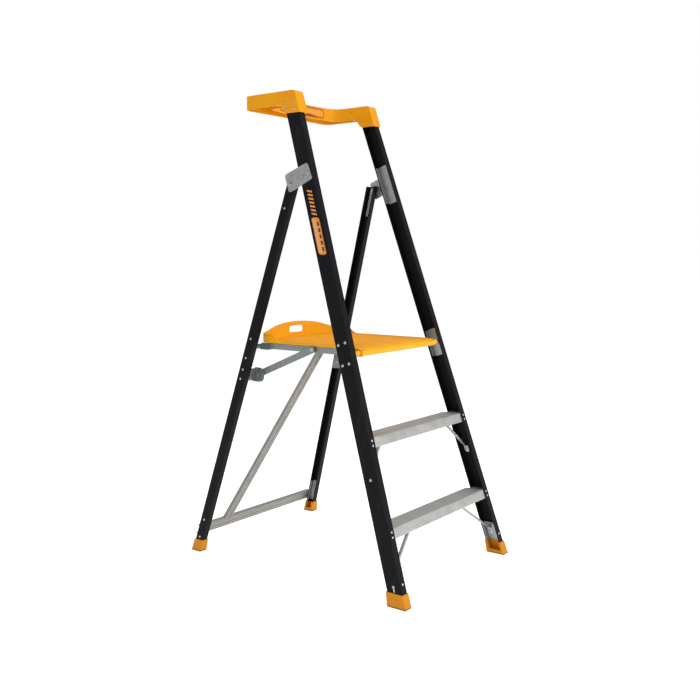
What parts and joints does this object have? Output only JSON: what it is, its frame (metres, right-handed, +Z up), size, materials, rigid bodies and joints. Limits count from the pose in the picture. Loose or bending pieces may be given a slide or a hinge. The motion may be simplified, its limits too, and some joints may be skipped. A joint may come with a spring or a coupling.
{
  "type": "platform step ladder",
  "caption": "Folding step ladder with dark channel side rails, ribbed treads, a drop-down standing platform with kickboard, and a moulded guard cap joined by hinged rear legs.",
  "frame": {"origin": "on the floor under the middle of the four feet's bounding box", "axes": "+Z up, +Y the way the climber faces (towards the rear legs), +X to the climber's right; the climbing side with the treads is at -Y"},
  "size_m": [0.7538, 1.068, 1.826],
  "materials": {
    "fibreglass": "satin pultruded glass fibre",
    "yellow_plastic": "moulded, fine grained, satin",
    "grey_rubber": "matt",
    "mill_aluminium": "mill finish, ribbed",
    "black_nylon": "matt",
    "zinc_plated_steel": "bright zinc",
    "galvanised_steel": "dull galvanised"
  },
  "bodies": {
    "front_frame": {"left_front_stile": "fibreglass", "left_front_shoe": "yellow_plastic", "left_front_sole": "grey_rubber", "left_front_corner_plate": "galvanised_steel", "right_front_stile": "fibreglass", "right_front_shoe": "yellow_plastic", "right_front_sole": "grey_rubber", "right_front_corner_plate": "galvanised_steel", "left_hinge_plate": "galvanised_steel", "left_hinge_backing_plate": "galvanised_steel", "left_hinge_spacer": "black_nylon", "left_hinge_pin": "zinc_plated_steel", "left_hinge_front_rivet": "zinc_plated_steel", "left_hinge_rear_rivet": "zinc_plated_steel", "left_platform_bracket": "galvanised_steel", "left_lower_strut": "galvanised_steel", "left_upper_strut": "galvanised_steel", "right_hinge_plate": "galvanised_steel", "right_hinge_backing_plate": "galvanised_steel", "right_hinge_spacer": "black_nylon", "right_hinge_pin": "zinc_plated_steel", "right_hinge_front_rivet": "zinc_plated_steel", "right_hinge_rear_rivet": "zinc_plated_steel", "right_platform_bracket": "galvanised_steel", "right_lower_strut": "galvanised_steel", "right_upper_strut": "galvanised_steel", "lower_tread": "mill_aluminium", "upper_tread": "mill_aluminium", "top_cap": "yellow_plastic", "platform_pivot_rod": "zinc_plated_steel"},
    "rear_frame": {"left_rear_stile": "fibreglass", "left_rear_shoe": "yellow_plastic", "left_rear_sole": "grey_rubber", "left_rear_stile_strap": "galvanised_steel", "left_rear_foot_bracket": "galvanised_steel", "right_rear_stile": "fibreglass", "right_rear_shoe": "yellow_plastic", "right_rear_sole": "grey_rubber", "right_rear_stile_strap": "galvanised_steel", "right_rear_foot_bracket": "galvanised_steel", "left_rest_bracket": "galvanised_steel", "left_arm_bracket": "galvanised_steel", "right_rest_bracket": "galvanised_steel", "right_arm_bracket": "galvanised_steel", "lower_rear_brace": "mill_aluminium", "diagonal_rear_brace": "mill_aluminium"},
    "platform": {"platform_deck": "yellow_plastic", "platform_rear_bar": "galvanised_steel", "platform_middle_bar": "galvanised_steel", "left_platform_rail": "galvanised_steel", "right_platform_rail": "galvanised_steel"},
    "left_arm": {"left_fold_arm": "galvanised_steel", "left_arm_lower_rivet": "zinc_plated_steel", "left_arm_upper_rivet": "zinc_plated_steel"},
    "right_arm": {"right_fold_arm": "galvanised_steel", "right_arm_lower_rivet": "zinc_plated_steel", "right_arm_upper_rivet": "zinc_plated_steel"}
  },
  "joints": [
    {"name": "rear_frame_fold", "type": "hinge", "parent": "front_frame", "child": "rear_frame", "pos_m": [0, 0.065, 1.48], "axis": [-1, 0, 0], "range_deg": [0, 34.5]},
    {"name": "platform_tilt", "type": "hinge", "parent": "front_frame", "child": "platform", "pos_m": [0, -0.238, 0.86], "axis": [1, 0, 0], "range_deg": [0, 72.2]},
    {"name": "left_arm_swing", "type": "hinge", "parent": "rear_frame", "child": "left_arm", "pos_m": [-0.2535, 0.256, 0.743], "axis": [-1, 0, 0], "range_deg": [0, 37.7]},
    {"name": "right_arm_swing", "type": "hinge", "parent": "rear_frame", "child": "right_arm", "pos_m": [0.2535, 0.256, 0.743], "axis": [-1, 0, 0], "range_deg": [0, 37.7]}
  ],
  "couplings": [
    {"joint": "platform_tilt", "follows": "rear_frame_fold", "ratio": 2.0909},
    {"joint": "left_arm_swing", "follows": "rear_frame_fold", "ratio": 1.0914},
    {"joint": "right_arm_swing", "follows": "rear_frame_fold", "ratio": 1.0914}
  ]
}
